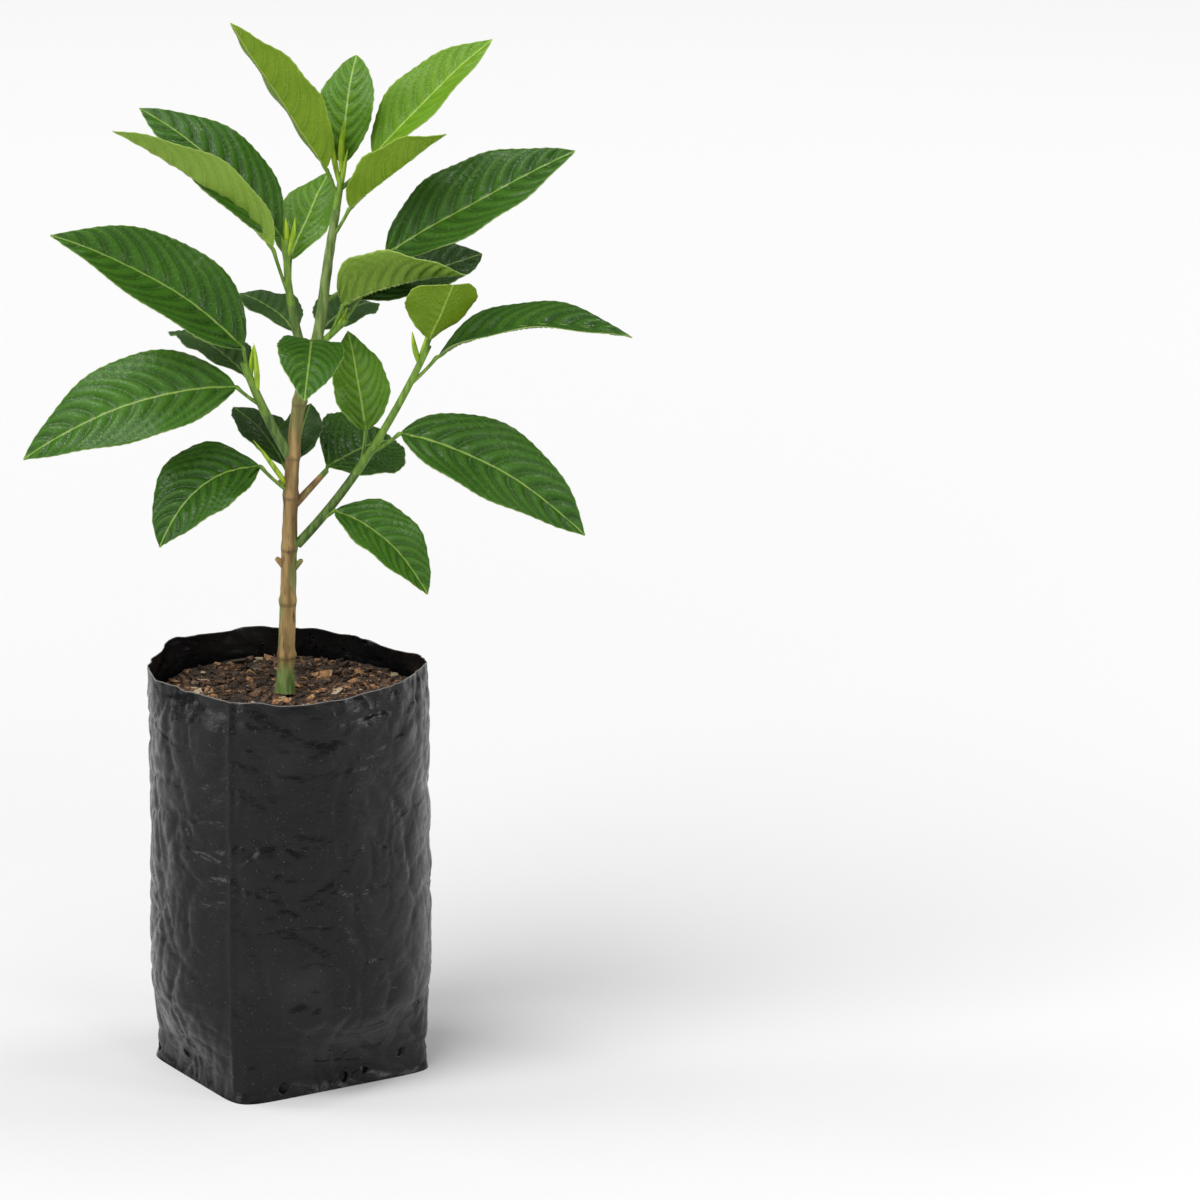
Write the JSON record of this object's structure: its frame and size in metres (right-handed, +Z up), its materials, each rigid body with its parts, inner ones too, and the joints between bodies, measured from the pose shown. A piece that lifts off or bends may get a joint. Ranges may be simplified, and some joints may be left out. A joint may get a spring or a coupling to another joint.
{
  "type": "potted orange sapling",
  "caption": "Young orange tree with a slim trunk, side shoots and glossy oval leaves, growing in a black polythene nursery bag of bark potting mix.",
  "frame": {"origin": "middle of the flat underside of the nursery bag", "axes": "+Z up along the trunk, +X to the right and +Y away as the plant is usually seen"},
  "size_m": [0.2797, 0.131, 0.5051],
  "materials": {
    "bag_film": "crinkled glossy black polythene film",
    "potting_mix": "rough damp bark chips and fibre",
    "bark": "tan bark with green streaks",
    "green_stem": "smooth green young stem",
    "foliage": "glossy quilted leaf",
    "young_foliage": "satin yellow-green young leaf"
  },
  "bodies": {
    "root": {"grow_bag": "bag_film", "potting_mix": "potting_mix", "trunk": "bark", "left_low_bough": "green_stem", "left_high_bough": "green_stem", "right_bough": "green_stem", "right_spur_bough": "bark", "centre_right_bough": "green_stem", "crown_tip_foliage": "young_foliage", "upper_right_foliage": "young_foliage", "right_high_foliage": "foliage", "centre_right_foliage": "foliage", "back_right_foliage": "foliage", "right_shoot_foliage": "foliage", "right_low_foliage": "foliage", "right_spur_foliage": "foliage", "left_low_foliage": "foliage", "left_high_foliage": "foliage", "back_left_foliage": "foliage", "front_foliage": "foliage", "back_low_left_foliage": "foliage", "back_low_foliage": "foliage", "low_left_foliage": "foliage"}
  },
  "joints": []
}
